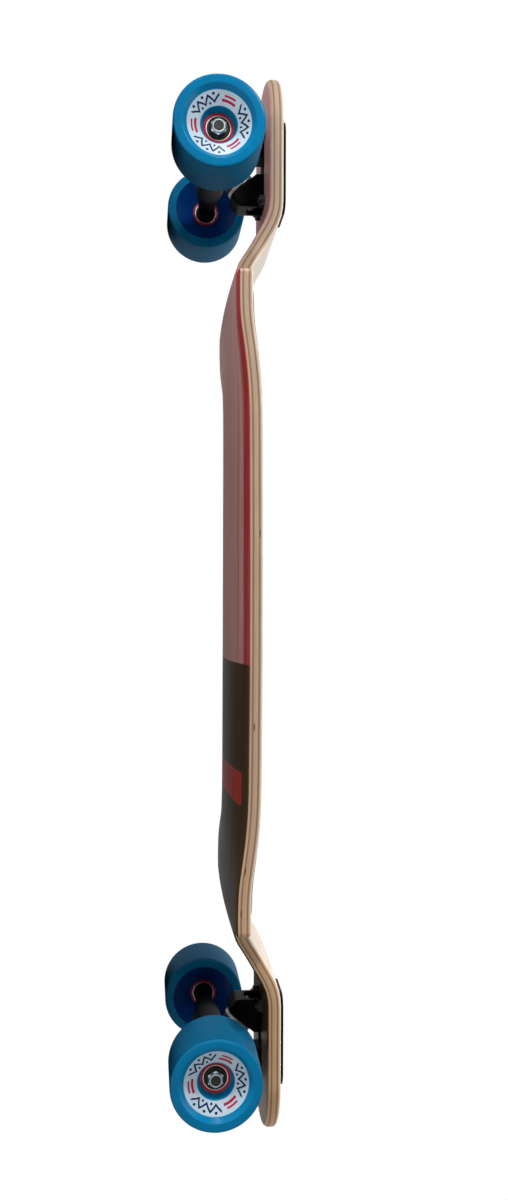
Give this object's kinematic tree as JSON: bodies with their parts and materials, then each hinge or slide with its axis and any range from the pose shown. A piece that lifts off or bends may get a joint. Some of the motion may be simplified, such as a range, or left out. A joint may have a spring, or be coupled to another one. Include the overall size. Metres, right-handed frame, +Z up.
{
  "type": "longboard skateboard",
  "caption": "Drop-through longboard with a pressed maple deck, sunken concave platform, steering trucks with slanted pivots and dished blue urethane wheels on ball bearings.",
  "frame": {"origin": "on the ground under the middle of the deck, where the wheels stand", "axes": "+X to the nose, +Y to the rider's left, +Z up"},
  "size_m": [1.004, 0.265, 0.11],
  "materials": {
    "stained_veneer": "stained red and dark under gloss lacquer",
    "maple_plies": "bare sanded laminate edge",
    "maple_veneer": "clear satin lacquer",
    "grip": "mineral grit sheet",
    "cast_black": "cast, satin black powder coat",
    "cup_urethane": "moulded",
    "bright_steel": "zinc plated",
    "bushing_urethane": "moulded urethane",
    "bearing_steel": "ground and polished",
    "spacer_alloy": "turned",
    "black_steel": "black oxide",
    "wheel_urethane": "cast urethane, satin tread, printed outer cone",
    "core_plastic": "moulded",
    "shield_black": "moulded seal"
  },
  "bodies": {
    "deck": {"deck_bottom_veneer": "stained_veneer", "deck_core": "maple_plies", "deck_top_veneer": "maple_veneer", "grip_sheet": "grip", "front_baseplate": "cast_black", "front_pivot_cup": "cup_urethane", "front_kingpin": "bright_steel", "front_kingpin_nut": "bright_steel", "front_board_bushing": "bushing_urethane", "front_road_bushing": "bushing_urethane", "front_cup_washers": "bright_steel", "front_mounting_bolts": "black_steel", "front_mounting_nuts": "black_steel", "rear_baseplate": "cast_black", "rear_pivot_cup": "cup_urethane", "rear_kingpin": "bright_steel", "rear_kingpin_nut": "bright_steel", "rear_board_bushing": "bushing_urethane", "rear_road_bushing": "bushing_urethane", "rear_cup_washers": "bright_steel", "rear_mounting_bolts": "black_steel", "rear_mounting_nuts": "black_steel"},
    "front_hanger": {"front_hanger": "cast_black", "front_axle": "bright_steel", "front_speed_washers": "bright_steel", "front_axle_nuts": "bright_steel", "front_bearing_inner_rings": "bearing_steel", "front_bearing_spacers": "spacer_alloy"},
    "front_left_wheel": {"front_left_tyre": "wheel_urethane", "front_left_hub_core": "core_plastic", "front_left_bearing_outer_rings": "bearing_steel", "front_left_bearing_shields": "shield_black"},
    "front_left_ball_set": {"front_left_bearing_balls": "bearing_steel"},
    "front_right_wheel": {"front_right_tyre": "wheel_urethane", "front_right_hub_core": "core_plastic", "front_right_bearing_outer_rings": "bearing_steel", "front_right_bearing_shields": "shield_black"},
    "front_right_ball_set": {"front_right_bearing_balls": "bearing_steel"},
    "rear_hanger": {"rear_hanger": "cast_black", "rear_axle": "bright_steel", "rear_speed_washers": "bright_steel", "rear_axle_nuts": "bright_steel", "rear_bearing_inner_rings": "bearing_steel", "rear_bearing_spacers": "spacer_alloy"},
    "rear_left_wheel": {"rear_left_tyre": "wheel_urethane", "rear_left_hub_core": "core_plastic", "rear_left_bearing_outer_rings": "bearing_steel", "rear_left_bearing_shields": "shield_black"},
    "rear_left_ball_set": {"rear_left_bearing_balls": "bearing_steel"},
    "rear_right_wheel": {"rear_right_tyre": "wheel_urethane", "rear_right_hub_core": "core_plastic", "rear_right_bearing_outer_rings": "bearing_steel", "rear_right_bearing_shields": "shield_black"},
    "rear_right_ball_set": {"rear_right_bearing_balls": "bearing_steel"}
  },
  "joints": [
    {"name": "front_steer", "type": "hinge", "parent": "deck", "child": "front_hanger", "pos_m": [0.41, 0, 0.04], "axis": [0.6428, 0, 0.766], "range_deg": [-14, 14], "stiffness_Nm_per_rad": 45, "deforming": ["front_board_bushing", "front_road_bushing"]},
    {"name": "front_left_spin", "type": "hinge", "parent": "front_hanger", "child": "front_left_wheel", "pos_m": [0.41, 0, 0.04], "axis": [0, 1, 0], "continuous": true},
    {"name": "front_left_balls", "type": "hinge", "parent": "front_hanger", "child": "front_left_ball_set", "pos_m": [0.41, 0, 0.04], "axis": [0, 1, 0], "continuous": true},
    {"name": "front_right_spin", "type": "hinge", "parent": "front_hanger", "child": "front_right_wheel", "pos_m": [0.41, 0, 0.04], "axis": [0, 1, 0], "continuous": true},
    {"name": "front_right_balls", "type": "hinge", "parent": "front_hanger", "child": "front_right_ball_set", "pos_m": [0.41, 0, 0.04], "axis": [0, 1, 0], "continuous": true},
    {"name": "rear_steer", "type": "hinge", "parent": "deck", "child": "rear_hanger", "pos_m": [-0.41, 0, 0.04], "axis": [-0.6428, 0, 0.766], "range_deg": [-14, 14], "stiffness_Nm_per_rad": 45, "deforming": ["rear_board_bushing", "rear_road_bushing"]},
    {"name": "rear_left_spin", "type": "hinge", "parent": "rear_hanger", "child": "rear_left_wheel", "pos_m": [-0.41, 0, 0.04], "axis": [0, 1, 0], "continuous": true},
    {"name": "rear_left_balls", "type": "hinge", "parent": "rear_hanger", "child": "rear_left_ball_set", "pos_m": [-0.41, 0, 0.04], "axis": [0, 1, 0], "continuous": true},
    {"name": "rear_right_spin", "type": "hinge", "parent": "rear_hanger", "child": "rear_right_wheel", "pos_m": [-0.41, 0, 0.04], "axis": [0, 1, 0], "continuous": true},
    {"name": "rear_right_balls", "type": "hinge", "parent": "rear_hanger", "child": "rear_right_ball_set", "pos_m": [-0.41, 0, 0.04], "axis": [0, 1, 0], "continuous": true}
  ],
  "couplings": [
    {"joint": "front_left_balls", "follows": "front_left_spin", "ratio": 0.632},
    {"joint": "front_right_balls", "follows": "front_right_spin", "ratio": 0.632},
    {"joint": "rear_left_balls", "follows": "rear_left_spin", "ratio": 0.632},
    {"joint": "rear_right_balls", "follows": "rear_right_spin", "ratio": 0.632}
  ]
}
